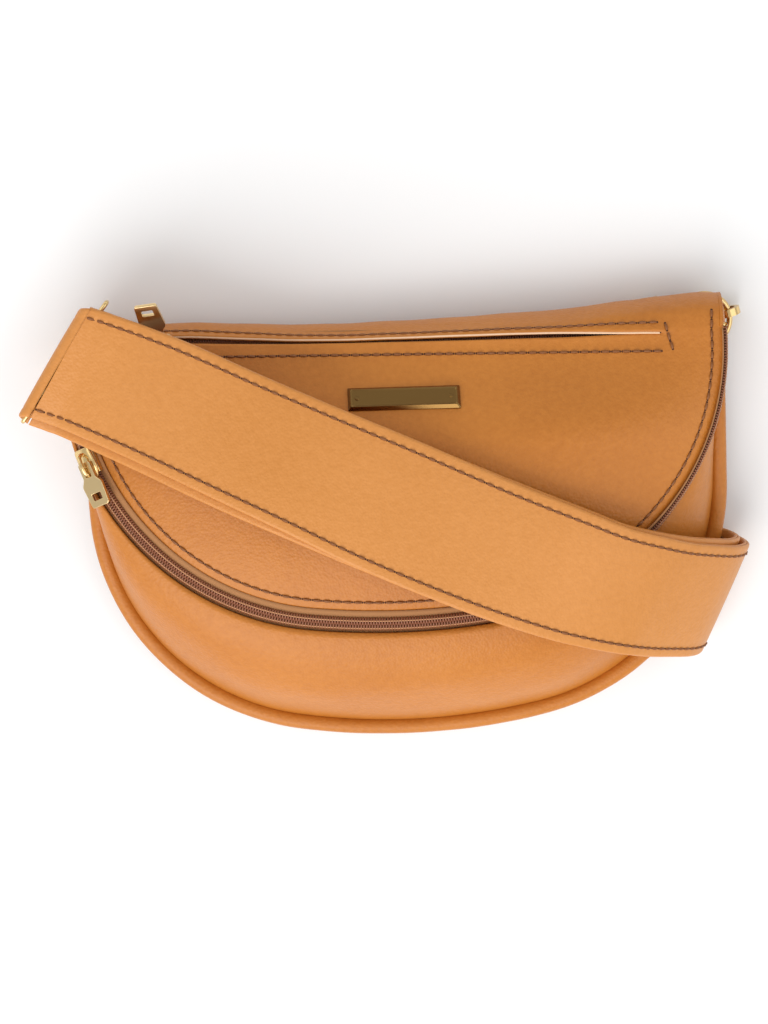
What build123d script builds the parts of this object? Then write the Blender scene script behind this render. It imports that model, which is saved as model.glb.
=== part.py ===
"""Sling bag with a wide doubled strap, lying on its back.

Frame, in millimetres: X to the bag's right, Y toward its top edge, Z out of its front.
Z = 0 is the surface that the bag rests on, under the strap runs that pass beneath it.
"""
import math
import os

from build123d import *

os.makedirs("parts", exist_ok=True)

# ---- driving sizes -------------------------------------------------------------------
LEATHER = 1.6
STRAP_W = 50.0
STRAP_T = 3.0
GAP = 0.3
BACK_Z = 10.6
TOP_Y = 77.0
BACK_OUTLINE = dict(half=120.6, corner=88.6, sweep=250.6, low=-92.1)
PIPING_OUTLINE = dict(half=127.2, corner=95.0, sweep=257.0, low=-98.5)
PIPING_R = 3.5
PIPING_Z = 14.2
PIPING_TOP = 52.0
ZIP_OUTLINE = dict(half=131.0, corner=104.0, sweep=299.0, low=-43.5)
ZIP_TILT = 12.0
ZIP_PIVOT_Y = 70.0
ZIP_PIVOT_Z = 30.0
ZIP_TOP = 70.0
DOME_RISE = 11.0
DOME_OUTLINE = dict(half=92.0, corner=22.0, sweep=300.0, low=-3.0)
DOME_TOP = 34.0
SLIDER_DEG = 200.0
SLIT_HALF = 103.0
SLIT_GAP = 4.8
POCKET_SLIDER_X = -95.0
PULL_LIFT = 65.0
PULL_YAW = 100.0
PLATE = (44.0, 10.0, 1.6)
PLATE_Y = 45.5
BAND_DEG = 24.5
BAND_OFFSET = 5.0
FOLD_U = -149.5
FOLD_LIFT = 2.9
FOLD_Z = 36.8
FRONT_LINE = [
    (-134, 39.4), (-124, 43), (-104, 51), (-76, 57), (-45, 60.4), (-10, 61.8),
    (30, 62), (62, 61.2), (80, 58), (96, 52), (108, 44), (116, 37),
]
SIDE_INNER_LINE = [(116.3, 36.7), (125.6, 27.0), (130.4, 19), (130.8, 12.4), (127.6, 8.0), (122, 6.3)]
SIDE_OUTER_LINE = [
    (118.5, 39.2), (129.4, 29.0), (135.6, 20), (136.8, 12), (133.6, 5.2), (128, 3.0), (122, 3.0),
]
UNDER_OUTER_Z = 0.0
UNDER_INNER_Z = 3.3
RETURN_Z = 6.6
UNDER_END_U = 121.7
EYE_W = 24.0
EYE_BAR = 35.0
LEFT_CLASP_U = -146.0
D_RADIUS = 10.5
WIRE = 1.2
GATE_WIDE = 2.6

ZIP_FRAME = (
    Plane(
        origin=(0, ZIP_PIVOT_Y, ZIP_PIVOT_Z),
        x_dir=(1, 0, 0),
        z_dir=(0, math.sin(math.radians(ZIP_TILT)), math.cos(math.radians(ZIP_TILT))),
    ).location
    * Pos(0, -ZIP_PIVOT_Y, 0)
)
SLIT_FRAME = Plane(origin=(0, 69.9, 30.1), x_dir=(1, -0.03, 0.0151), z_dir=(0, 0.45, 0.893)).location
BAND_FRAME = Rot(Z=-BAND_DEG) * Pos(0, BAND_OFFSET, 0)
UPRIGHT = Plane(origin=(0, 0, 0), x_dir=(1, 0, 0), z_dir=(0, -1, 0))
LEFT_CLASP = BAND_FRAME * Pos(LEFT_CLASP_U, 0, 4.6)
RIGHT_CLASP = Pos(133.5, 68.0, 5.0) * Rot(Z=194.0)


def save(name, shape):
    """Write one node as a STEP file."""
    if isinstance(shape, (list, tuple)):
        shape = Compound(children=list(shape))
    export_step(shape, "parts/" + name + ".step")


def grown(outline, by):
    """The same D outline, moved outward by a distance."""
    return dict(
        half=outline["half"] + by,
        corner=outline["corner"] + by,
        sweep=outline["sweep"] + by,
        low=outline["low"] - by,
    )


def d_points(half, corner, sweep, low):
    """Tangent points and arc centres of a D outline: side, corner, sweep."""
    dx = half - corner
    reach = sweep - corner
    dy = math.sqrt(reach**2 - dx**2)
    side_y = low + sweep - dy
    tangent = (dx + corner * dx / reach, side_y - corner * dy / reach)
    turn = (math.pi / 2 - math.asin(dx / reach)) / 2
    middle = (dx + corner * math.cos(turn), side_y - corner * math.sin(turn))
    return side_y, tangent, middle


def d_edges(outline, top):
    """Open D outline from the left top, down and round to the right top."""
    side_y, tangent, middle = d_points(**outline)
    half = outline["half"]
    low = outline["low"]
    return [
        Line((-half, top), (-half, side_y)),
        ThreePointArc((-half, side_y), (-middle[0], middle[1]), (-tangent[0], tangent[1])),
        ThreePointArc((-tangent[0], tangent[1]), (0, low), tangent),
        ThreePointArc(tangent, middle, (half, side_y)),
        Line((half, side_y), (half, top)),
    ]


def d_face(outline, top):
    """Closed D face."""
    half = outline["half"]
    return make_face(d_edges(outline, top) + [Line((half, top), (-half, top))])


def d_sweep(outline, top, profile):
    """Sweep a profile along the open D; profile X is outward and profile Y is up."""
    half = outline["half"]
    start = Plane(origin=(-half, top, 0), x_dir=(-1, 0, 0), z_dir=(0, 1, 0))
    return sweep(start * profile, path=Wire(d_edges(outline, top)))


def rect(x0, x1, y0, y1):
    """Rectangle face by its limits."""
    return Pos((x0 + x1) / 2, (y0 + y1) / 2) * Rectangle(x1 - x0, y1 - y0)


def block(x0, x1, y0, y1, z0, z1):
    """Box by its limits."""
    size = (x1 - x0, y1 - y0, z1 - z0)
    return Pos((x0 + x1) / 2, (y0 + y1) / 2, (z0 + z1) / 2) * Box(*size)


# ---- body ----------------------------------------------------------------------------
def back_panel():
    """Flat leather back with its stiffener board."""
    panel = Pos(0, 0, BACK_Z) * extrude(d_face(BACK_OUTLINE, 75.0), 1.8)
    board = Pos(0, 0, BACK_Z + 2.1) * extrude(d_face(grown(BACK_OUTLINE, -6), 66.0), 1.2)
    save("back_panel", panel)
    save("back_board", board)


def piping():
    """Leather-covered cord round the curved edge of the back."""
    cover = d_sweep(PIPING_OUTLINE, PIPING_TOP, Circle(PIPING_R) - Circle(2.1))
    core = d_sweep(PIPING_OUTLINE, PIPING_TOP, Circle(1.9))
    save("piping_cover", Pos(0, 0, PIPING_Z) * cover)
    save("piping_core", Pos(0, 0, PIPING_Z) * core)


def cone_of(low_outline, low_z, low_top, high_outline, high_z, high_top):
    """Ruled solid between a D in a level plane and a D in the zip plane."""
    low = Pos(0, 0, low_z) * d_face(low_outline, low_top)
    high = ZIP_FRAME * Pos(0, 0, high_z) * d_face(high_outline, high_top)
    return loft([low, high], ruled=True)


def gusset():
    """Side and lower panel between the back and the zip, and the lining inside it."""
    back = BACK_OUTLINE
    rim = grown(ZIP_OUTLINE, 4.0)
    outer = cone_of(back, BACK_Z + 2.1, 74.0, rim, -1.4, 74.0)
    inner = cone_of(grown(back, -LEATHER), BACK_Z + 2.0, 74.0, grown(rim, -LEATHER), -1.3, 74.0)
    shell = outer - inner - block(-200, 200, 71.0, 120, 0, 90)
    save("gusset_panel", shell)
    back_in = grown(back, -LEATHER - 2.0)
    rim_in = grown(rim, -LEATHER - 2.0)
    outer = cone_of(back_in, BACK_Z + 3.7, 66.0, rim_in, -1.8, 66.0)
    inner = cone_of(grown(back_in, -0.6), BACK_Z + 4.3, 65.4, grown(rim_in, -0.6), -1.7, 65.4)
    lining = outer - inner - block(-110, 110, 58, 90, 19, 60)
    save("lining", lining)


def roll_profile(outer):
    """Outer or inner line of the top edge, in the YZ plane."""
    inset = 0 if outer else LEATHER
    return [
        Line((62.0, 31.7 - inset), (65.0, 31.3 - inset)),
        ThreePointArc(
            (65.0, 31.3 - inset), (73.3 - 0.7 * inset, 28.6 - 0.7 * inset), (TOP_Y - inset, 19.5)
        ),
        Line((TOP_Y - inset, 19.5), (TOP_Y - inset, BACK_Z + 0.3)),
    ]


def front_panel():
    """Domed front that rolls over the top edge, with the pocket slit cut in the roll."""
    low = grown(ZIP_OUTLINE, -4.5)
    outer = loft([d_face(low, 66.0), Pos(0, 0, DOME_RISE) * d_face(DOME_OUTLINE, DOME_TOP)], ruled=True)
    inner_high = Pos(0, 0, DOME_RISE - LEATHER) * d_face(DOME_OUTLINE, DOME_TOP)
    inner_low = Pos(0, 0, -0.01) * d_face(grown(low, -1.9), 64.4)
    dome = ZIP_FRAME * (outer - loft([inner_low, inner_high], ruled=True))
    outside = roll_profile(True)
    inside = roll_profile(False)
    foot = BACK_Z + 0.3
    joins = [
        Line((62.0, 31.7), (62.0, 31.7 - LEATHER)),
        Line((TOP_Y, foot), (TOP_Y - LEATHER, foot)),
    ]
    band = extrude(Plane.YZ * make_face(outside + inside + joins), 121.0, both=True)
    slit = SLIT_FRAME * Box(2 * SLIT_HALF, SLIT_GAP, 9.0)
    save("front_panel", dome + band - slit)


# ---- main zip ------------------------------------------------------------------------
def main_zip():
    """Two tapes and two coil rows along the arc in the inclined plane."""
    rows = {
        "main_zip_tape_outer": rect(0.3, 4.4, -1.0, -0.4),
        "main_zip_tape_inner": rect(-8.5, -0.3, -1.0, -0.4),
        "main_zip_coil_outer": rect(0.15, 2.9, -0.1, 1.4),
        "main_zip_coil_inner": rect(-2.9, -0.15, -0.1, 1.4),
    }
    for name, profile in rows.items():
        save(name, ZIP_FRAME * d_sweep(ZIP_OUTLINE, ZIP_TOP, profile))
    half = ZIP_OUTLINE["half"]
    stop = block(-3, 3, ZIP_TOP + 0.3, ZIP_TOP + 2.3, -0.9, 1.5)
    save("main_zip_stops", [ZIP_FRAME * Pos(s * half, 0, 0) * stop for s in (-1, 1)])


def arc_place(angle_deg):
    """Place on the left corner arc of the zip: X outward, Y back along the arc."""
    side_y = d_points(**ZIP_OUTLINE)[0]
    corner = ZIP_OUTLINE["corner"]
    centre_x = corner - ZIP_OUTLINE["half"]
    return ZIP_FRAME * Pos(centre_x, side_y, 0) * Rot(Z=angle_deg) * Pos(corner, 0, 0)


def main_slider():
    """Slider over the coils with a bail along its length, and the pull that hangs from it."""
    place = arc_place(SLIDER_DEG)
    top = extrude(Pos(0, 0, 1.7) * RectangleRounded(8.4, 13.0, 2.4), 1.2)
    rim = block(3.3, 4.2, -5.5, 5.5, -0.2, 1.7) + block(-4.2, -3.3, -5.5, 5.5, -0.2, 1.7)
    posts = block(-1.0, 1.0, -4.6, -3.2, 2.9, 5.4) + block(-1.0, 1.0, 3.2, 4.6, 2.9, 5.4)
    bail = posts + block(-1.0, 1.0, -4.6, 4.6, 5.4, 6.6)
    save("main_zip_slider", place * (top + rim + bail))
    save("main_zip_pull", place * Pos(0, 0, 4.15) * Rot(Z=90) * pull_shape(17.0))


def pull_shape(length):
    """Flat pull along +X: crossbar at the origin, slot for the bail, window near the end."""
    line = [(5.6, -2.9), (8.0, -4.8), (length, -4.2), (length, 4.2), (8.0, 4.8), (5.6, 2.9)]
    eye = rect(-0.7, 6.0, -2.9, 2.9) - rect(0.7, 5.2, -1.7, 1.7)
    blade = make_face(Polyline(*line, close=True))
    window = rect(length - 5.2, length - 2.2, -2.6, 2.6)
    return Pos(0, 0, -0.7) * extrude(eye + blade - window, 1.4)


# ---- pocket zip ----------------------------------------------------------------------
def pocket():
    """Slit zip in the top roll and the pouch behind it."""
    length = 2 * SLIT_HALF - 4
    rows = {
        "pocket_zip_tape_upper": (0.3, 4.0, -4.7, -4.2),
        "pocket_zip_tape_lower": (-4.0, -0.3, -4.7, -4.2),
        "pocket_zip_coil_upper": (0.15, 2.1, -3.9, -2.9),
        "pocket_zip_coil_lower": (-2.1, -0.15, -3.9, -2.9),
    }
    for name, (y0, y1, z0, z1) in rows.items():
        save(name, SLIT_FRAME * block(-length / 2, length / 2, y0, y1, z0, z1))
    outer = block(-98, 98, -4, 60, -9.8, -3.2)
    cavity = block(-97.4, 97.4, -3.4, 61, -9.2, -3.8)
    save("pocket_pouch", ZIP_FRAME * (outer - cavity))
    slide = SLIT_FRAME * Pos(POCKET_SLIDER_X, 0, 0)
    body = block(-4.5, 4.5, -1.7, 1.7, -2.6, 1.0) + block(-4.5, 4.5, -3.2, 3.2, 1.0, 1.8)
    posts = block(-1.0, 1.0, -3.1, -2.2, 1.8, 4.3) + block(-1.0, 1.0, 2.2, 3.1, 1.8, 4.3)
    bail = posts + block(-1.0, 1.0, -3.1, 3.1, 4.3, 5.3)
    save("pocket_zip_slider", slide * (body + bail))
    hang = slide * Pos(0, 0, 3.05) * Rot(X=PULL_LIFT) * Rot(Z=PULL_YAW)
    save("pocket_zip_pull", hang * pull_shape(20.0))


def name_plate():
    """Blank bevelled plate on the front with two bent prongs behind the leather."""
    face = ZIP_FRAME * Pos(0, PLATE_Y, DOME_RISE * (66.0 - PLATE_Y) / 32.0 + 0.35) * Rot(X=-19.0)
    plate = extrude(Rectangle(PLATE[0], PLATE[1]), PLATE[2])
    plate = chamfer(plate.edges().group_by(Axis.Z)[-1], 0.7)
    save("name_plate", face * plate)
    washer = [block(s * 15 - 4, s * 15 + 4, -3, 3, -3.4, -2.9) for s in (-1, 1)]
    save("name_plate_washers", [face * item for item in washer])


# ---- strap ---------------------------------------------------------------------------
def offset_line(points, by):
    """Points moved along the left-hand normal of their line."""
    moved = []
    for index, (u, z) in enumerate(points):
        before = points[max(index - 1, 0)]
        after = points[min(index + 1, len(points) - 1)]
        du = after[0] - before[0]
        dz = after[1] - before[1]
        size = math.hypot(du, dz)
        moved.append((u - by * dz / size, z + by * du / size))
    return moved


def band(points, low, high):
    """Strip of strap: a line in the upright plane along the band, thickened and made wide."""
    under = offset_line(points, low)
    over = offset_line(points, high)
    sides = [Line(under[-1], over[-1]), Line(over[0], under[0])]
    face = make_face([Spline(*under), Spline(*reversed(over))] + sides)
    return BAND_FRAME * extrude(UPRIGHT * face, STRAP_W / 2, both=True)


def u_turn(u, mid_z, inner_r):
    """Half-round fold of the strap, open toward +U."""
    ring = Circle(inner_r + STRAP_T) - Circle(inner_r)
    half = Pos(u, mid_z) * (ring & rect(-12, 0, -12, 12))
    return BAND_FRAME * extrude(UPRIGHT * half, STRAP_W / 2, both=True)


def front_runs():
    """Two layers across the front and the fold at the strap's middle that joins them."""
    flat = [(FOLD_U, FOLD_Z), (-145, FOLD_Z), (-140, FOLD_Z)]
    inner = flat + FRONT_LINE
    save("strap_front_inner", band(inner, 0.0, STRAP_T))
    rise = [FOLD_LIFT, FOLD_LIFT, 2.6, 2.0, 1.1, 0.3]
    outer = [(u, z + (rise[i] if i < len(rise) else 0)) for i, (u, z) in enumerate(inner)]
    save("strap_front_outer", band(outer, STRAP_T + GAP, 2 * STRAP_T + GAP))
    inner_r = (FOLD_LIFT + GAP) / 2
    save("strap_left_fold", u_turn(FOLD_U - 0.3, FOLD_Z + STRAP_T + inner_r, inner_r))


def side_runs():
    """Both layers turn round the right side of the bag."""
    save("strap_side_inner", band(SIDE_INNER_LINE, 0.0, STRAP_T))
    save("strap_side_outer", band(SIDE_OUTER_LINE, 0.0, STRAP_T))


def taper(points, z):
    """Flat run of strap from its plan outline."""
    return Pos(0, 0, z) * extrude(make_face(Polyline(*points, close=True)), STRAP_T)


def under_runs():
    """Runs under the back: one straight to the left clasp, one folded to the right clasp."""
    end = LEFT_CLASP_U + EYE_BAR
    half = STRAP_W / 2
    near = EYE_W / 2
    last = UNDER_END_U
    line = [(end, -near), (end + 34, -half), (last, -half), (last, half), (end + 34, half), (end, near)]
    save("strap_under_outer", BAND_FRAME * taper(line, UNDER_OUTER_Z))
    inner = block(0, last, -half, half, UNDER_INNER_Z, UNDER_INNER_Z + STRAP_T)
    save("strap_under_inner", BAND_FRAME * inner)
    save("strap_under_fold", u_turn(-0.3, RETURN_Z - GAP / 2, GAP / 2))
    place = RIGHT_CLASP * Pos(EYE_BAR, 0, 0)
    corners = [(BAND_FRAME * Pos(0, v, 0)).position for v in (-half, half)]
    tips = [(place * Pos(0, v, 0)).position for v in (-near, near)]
    outline = [(p.X, p.Y) for p in corners + tips]
    save("strap_return", taper(outline, RETURN_Z))


def end_loop(side, place, over):
    """Strap end wrapped round the clasp's eye bar, with its tail and a rivet through both."""
    ring = (Circle(1.6 + STRAP_T) - Circle(1.6)) & rect(-8, -0.2, -8, 8)
    low = [(-0.2, -3.1), (2.5, -3.1), (6, -2.6), (10, -1.4), (14, -0.6), (19, -0.4), (24, -0.4)]
    low = offset_line(low, -STRAP_T / 2), offset_line(low, STRAP_T / 2)
    sides = [Line(low[0][-1], low[1][-1]), Line(low[1][0], low[0][0])]
    tail = make_face([Spline(*low[0]), Spline(*reversed(low[1]))] + sides)
    shape = extrude(UPRIGHT * (ring + tail), EYE_W / 2, both=True)
    if not over:
        shape = mirror(shape, Plane.XY)
    save("strap_end_" + side, place * Pos(EYE_BAR, 0, 0) * shape)


# ---- corner hardware -----------------------------------------------------------------
def d_ring(side, place):
    """Flat D-ring with its straight side in a leather tab under the corner."""
    level = Pos(0, 0, 1.4)
    bend = Pos(D_RADIUS, 0) * (Torus(D_RADIUS, WIRE) & block(-20, 0, -20, 20, -5, 5))
    bar = Pos(D_RADIUS, 0) * Rot(X=90) * Cylinder(WIRE, 2 * D_RADIUS)
    corners = [Pos(D_RADIUS, sign * D_RADIUS) * Sphere(WIRE) for sign in (-1, 1)]
    ring = bend + bar + corners[0] + corners[1]
    save("d_ring_" + side, place * level * ring)
    loop = Circle(2.5) - Circle(WIRE + 0.15)
    plate = rect(1.6, 15.0, 0.6, 2.5)
    tab = extrude(UPRIGHT * (Pos(D_RADIUS, 0) * (loop + plate)), 8.5, both=True)
    save("d_ring_tab_" + side, place * level * tab)


def clasp(side, place):
    """Snap hook round the D-ring, its sprung gate, and the eye that the strap goes through."""
    ring = Circle(4.8) - Circle(3.0)
    wedge = make_face(Polyline((0, 0), (-12, -0.4), (-12, -14), (-4.6, -14), close=True))
    hook = extrude(UPRIGHT * (ring - wedge), 1.5, both=True)
    shank = block(0.5, 20, -2.0, 2.0, -4.7, -2.9) + block(17.5, 20, -2.0, 2.0, -4.7, 1.2)
    barrel = Pos(22.6, 0, 0) * Rot(Y=90) * Cylinder(0.8, 8.0)
    head = Pos(29.0, 0, 0) * Rot(Y=90) * Cylinder(1.6, 0.8)
    shank = shank - extrude(UPRIGHT * Circle(3.0), 3, both=True)
    save("clasp_hook_" + side, place * (hook + shank + barrel + head))
    small = make_face(Polyline((0, 0), (-12, -3.2), (-12, -14), (-6.5, -14), close=True))
    gate = extrude(UPRIGHT * ((Circle(4.6) - Circle(3.1)) & small), GATE_WIDE / 2, both=True)
    save("clasp_gate_" + side, place * gate)
    frame = block(26, 36.2, -14.7, 14.7, -1.0, 1.0) - block(28.4, 33.8, -12.3, 12.3, -3, 3)
    bore = Pos(27, 0, 0) * Rot(Y=90) * Cylinder(0.86, 8)
    save("clasp_eye_" + side, place * (frame - bore))


def strap_frame():
    """Gold wire frame held in the left fold, a little wider than the strap."""
    outer = rect(-28.4, 28.4, -2.6, 5.5)
    hole = rect(-25.9, 25.9, -0.3, 3.2)
    wire = extrude(Plane.YZ * (outer - hole), 1.25, both=True)
    save("strap_slide_frame", BAND_FRAME * Pos(FOLD_U + 2.3, 0, FOLD_Z) * wire)


if __name__ == "__main__":
    back_panel()
    piping()
    gusset()
    front_panel()
    main_zip()
    main_slider()
    pocket()
    name_plate()
    front_runs()
    side_runs()
    under_runs()
    strap_frame()
    end_loop("left", LEFT_CLASP, False)
    end_loop("right", RIGHT_CLASP, True)
    for name, spot in (("left", LEFT_CLASP), ("right", RIGHT_CLASP)):
        d_ring(name, spot)
        clasp(name, spot)
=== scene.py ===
import math

import bpy
from mathutils import Matrix, Vector


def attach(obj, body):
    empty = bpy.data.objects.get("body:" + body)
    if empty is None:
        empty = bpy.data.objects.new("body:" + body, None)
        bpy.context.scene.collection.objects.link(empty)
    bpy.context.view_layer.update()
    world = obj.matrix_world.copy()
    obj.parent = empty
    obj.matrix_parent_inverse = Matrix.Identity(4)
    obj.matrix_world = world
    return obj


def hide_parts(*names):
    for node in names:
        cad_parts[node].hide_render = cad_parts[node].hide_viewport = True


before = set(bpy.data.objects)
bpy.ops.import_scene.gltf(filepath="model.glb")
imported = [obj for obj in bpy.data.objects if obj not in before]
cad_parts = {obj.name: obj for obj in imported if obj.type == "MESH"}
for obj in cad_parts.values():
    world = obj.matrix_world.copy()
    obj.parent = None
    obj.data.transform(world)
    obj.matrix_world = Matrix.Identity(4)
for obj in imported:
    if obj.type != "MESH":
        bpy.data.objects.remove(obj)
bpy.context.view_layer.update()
MM = 0.001

# ---- the bag's sizes, in millimetres, as in the CAD part ----------------------------
ZIP = dict(half=131.0, corner=104.0, sweep=299.0, low=-43.5)
BACK = dict(half=120.6, corner=88.6, sweep=250.6, low=-92.1)
PIPE = dict(half=127.0, corner=94.8, sweep=256.8, low=-98.3)
TILT = math.radians(12.0)
BAND = math.radians(24.5)
BAND_OFF = 5.0
SLIT_HALF = 103.0
BACK_Z = 10.6
BACK_TOP_Y = 74.6
PIVOT_Y = 70.0
PIVOT_Z = 30.0
FLAT_TOP_Y = 66.0
SLIDER_DEG = 200.0
POCKET_SLIDER_X = -95.0
PULL_LIFT = 65.0
PULL_YAW = 100.0
PLATE_Y = 45.2
PLATE_SKEW = 0.028


# ---- small geometry helpers -----------------------------------------------------------
def mix(a, b, t):
    return a + (b - a) * t


def smooth(t):
    t = min(1.0, max(0.0, t))
    return t * t * (3 - 2 * t)


def table(points, x):
    """Smooth value at x from a short list of (x, value) points."""
    if x <= points[0][0]:
        return points[0][1]
    for (x0, y0), (x1, y1) in zip(points, points[1:]):
        if x <= x1:
            return mix(y0, y1, smooth((x - x0) / (x1 - x0)))
    return points[-1][1]


def catmull(a, b, c, d, w):
    """Catmull-Rom value between b and c."""
    linear = (c - a) * w
    square = (2 * a - 5 * b + 4 * c - d) * w * w
    return 0.5 * (2 * b + linear + square + (3 * b - a - 3 * c + d) * w ** 3)


def wave(x, y, seed=0.0):
    """Gentle uneven swell between about -1 and 1."""
    a = math.sin(0.043 * x + 0.031 * y + seed) + math.sin(0.091 * y - 0.027 * x + 2.1 * seed)
    return 0.4 * (a + math.sin(0.13 * x + 0.05 * y + 3.7 * seed) * 0.6)


def from_zip(x, y, z):
    """Zip plane to the bag's frame."""
    s = y - PIVOT_Y
    along = PIVOT_Y + s * math.cos(TILT) + z * math.sin(TILT)
    return Vector((x, along, PIVOT_Z - s * math.sin(TILT) + z * math.cos(TILT)))


def from_band(u, v, z):
    """Along and across the strap band to the bag's frame."""
    w = v + BAND_OFF
    return Vector((u * math.cos(BAND) + w * math.sin(BAND), -u * math.sin(BAND) + w * math.cos(BAND), z))


def grown(o, k):
    return dict(half=o["half"] + k, corner=o["corner"] + k, sweep=o["sweep"] + k, low=o["low"] - k)


def d_parts(o):
    dx = o["half"] - o["corner"]
    reach = o["sweep"] - o["corner"]
    side = o["low"] + o["sweep"] - math.sqrt(reach * reach - dx * dx)
    return dx, side, math.asin(dx / reach)


def d_line(o, top, step=2.0):
    """Points and outward normals along the open D from the left top round to the right top."""
    dx, side, lean = d_parts(o)
    pts = []
    n = max(2, int((top - side) / step))
    for i in range(n):
        pts.append(((-o["half"], mix(top, side, i / n)), (-1.0, 0.0)))
    turn = math.pi / 2 - lean
    n = int(o["corner"] * turn / step)
    for i in range(n):
        a = math.pi + turn * i / n
        c = (math.cos(a), math.sin(a))
        pts.append(((-dx + o["corner"] * c[0], side + o["corner"] * c[1]), c))
    n = int(o["sweep"] * 2 * lean / step)
    for i in range(n):
        a = 1.5 * math.pi - lean + 2 * lean * i / n
        c = (math.cos(a), math.sin(a))
        pts.append(((o["sweep"] * c[0], o["low"] + o["sweep"] + o["sweep"] * c[1]), c))
    n = int(o["corner"] * turn / step)
    for i in range(n):
        a = 1.5 * math.pi + lean + turn * i / n
        c = (math.cos(a), math.sin(a))
        pts.append(((dx + o["corner"] * c[0], side + o["corner"] * c[1]), c))
    n = max(2, int((top - side) / step))
    for i in range(n + 1):
        pts.append(((o["half"], mix(side, top, i / n)), (1.0, 0.0)))
    return pts


def d_low(o, x):
    """Where the D's curved edge lies at x."""
    dx, side, lean = d_parts(o)
    ax = abs(x)
    if ax < o["sweep"] * math.sin(lean):
        return o["low"] + o["sweep"] - math.sqrt(o["sweep"] ** 2 - x * x)
    return side - math.sqrt(max(0.0, o["corner"] ** 2 - max(0.0, ax - dx) ** 2))


def d_inside(o, x, y):
    """Distance from a point inside the D to its curved edge."""
    dx, side, lean = d_parts(o)
    ax = abs(x)
    if y >= side:
        return o["half"] - ax
    cy = o["low"] + o["sweep"]
    if math.atan2(ax, cy - y) < lean:
        return o["sweep"] - math.hypot(ax, cy - y)
    return o["corner"] - math.hypot(ax - dx, y - side)


def resample(points, count):
    """Same line with evenly spaced points."""
    run = [0.0]
    for a, b in zip(points, points[1:]):
        run.append(run[-1] + (b - a).length)
    out = []
    k = 0
    for i in range(count):
        want = run[-1] * i / (count - 1)
        while k < len(run) - 2 and run[k + 1] < want:
            k += 1
        gap = run[k + 1] - run[k]
        out.append(points[k].lerp(points[k + 1], (want - run[k]) / gap if gap else 0.0))
    return out


def length_of(points):
    return sum((b - a).length for a, b in zip(points, points[1:]))


# ---- mesh building ---------------------------------------------------------------------
class Shape:
    """Collects vertices and faces in millimetres."""

    def __init__(self):
        self.verts = []
        self.faces = []

    def grid(self, rows, close_v=False, skip=None):
        """Faces over a grid of points."""
        base = len(self.verts)
        nu, nv = len(rows), len(rows[0])
        for row in rows:
            self.verts.extend(row)
        for i in range(nu - 1):
            for j in range(nv if close_v else nv - 1):
                if skip and skip(i, j):
                    continue
                a, b = base + i * nv, base + (i + 1) * nv
                j2 = (j + 1) % nv
                self.faces.append((a + j, a + j2, b + j2, b + j))

    def tube(self, points, radius, sides=10, caps=True):
        """Round tube along a line."""
        rows = []
        for i, p in enumerate(points):
            d = (points[min(i + 1, len(points) - 1)] - points[max(i - 1, 0)]).normalized()
            ref = Vector((0, 0, 1))
            if abs(d.dot(ref)) > 0.95:
                ref = Vector((0, 1, 0)) if abs(d.y) < 0.9 else Vector((1, 0, 0))
            side = d.cross(ref).normalized()
            top = side.cross(d).normalized()
            row = []
            for k in range(sides):
                a = 2 * math.pi * k / sides
                row.append(p + side * (radius * math.cos(a)) + top * (radius * math.sin(a)))
            rows.append(row)
        start = len(self.verts)
        self.grid(rows, close_v=True)
        if caps:
            self.faces.append(tuple(range(start, start + sides)))
            last = start + (len(points) - 1) * sides
            self.faces.append(tuple(range(last + sides - 1, last - 1, -1)))

    def plate(self, outline, z0, z1, place, bevel):
        """Flat plate from a plan outline; bevel rounds its edges."""
        levels = [(z0, bevel), (z0 + bevel, 0.0), (z1 - bevel, 0.0), (z1, bevel)]
        rows = []
        for z, inset in levels:
            rows.append([place(x, y, z) for x, y in shrink(outline, inset)])
        start = len(self.verts)
        n = len(outline)
        self.grid(rows, close_v=True)
        self.faces.append(tuple(range(start + n - 1, start - 1, -1)))
        last = start + (len(levels) - 1) * n
        self.faces.append(tuple(range(last, last + n)))

    def object(self, name, material, sharp=False):
        mesh = bpy.data.meshes.new(name)
        mesh.from_pydata([tuple(v * MM) for v in self.verts], [], self.faces)
        mesh.materials.append(material)
        mesh.update()
        mesh.validate()
        for p in mesh.polygons:
            p.use_smooth = not sharp
        obj = bpy.data.objects.new(name, mesh)
        bpy.context.scene.collection.objects.link(obj)
        return obj


def shrink(ring, by):
    """Closed plan outline moved inward; it runs counter-clockwise."""
    if not by:
        return ring
    out = []
    n = len(ring)
    for i in range(n):
        x0, y0 = ring[i - 1]
        x1, y1 = ring[i]
        x2, y2 = ring[(i + 1) % n]
        d1 = Vector((x1 - x0, y1 - y0)).normalized()
        d2 = Vector((x2 - x1, y2 - y1)).normalized()
        n1 = Vector((-d1.y, d1.x))
        n2 = Vector((-d2.y, d2.x))
        m = (n1 + n2)
        m = m / max(0.3, m.length_squared / 2)
        out.append((x1 + m.x * by, y1 + m.y * by))
    return out


def rounded(points, r, steps=4):
    """Counter-clockwise polygon with rounded corners."""
    out = []
    n = len(points)
    for i in range(n):
        p0, p1, p2 = Vector(points[i - 1]), Vector(points[i]), Vector(points[(i + 1) % n])
        a = p1 + (p0 - p1).normalized() * r
        b = p1 + (p2 - p1).normalized() * r
        for k in range(steps + 1):
            t = k / steps
            q = a * (1 - t) ** 2 + p1 * 2 * t * (1 - t) + b * t * t
            out.append((q.x, q.y))
    return out


def thick(obj, size, offset=-1.0):
    """Gives a leather panel its thickness."""
    mod = obj.modifiers.new("thickness", "SOLIDIFY")
    mod.thickness = size * MM
    mod.offset = offset
    return obj


# ---- materials -------------------------------------------------------------------------
PEBBLE_SCALE = 900
GRAIN_SCALE = 420
LEATHER_ROUGHNESS = 0.42


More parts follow.
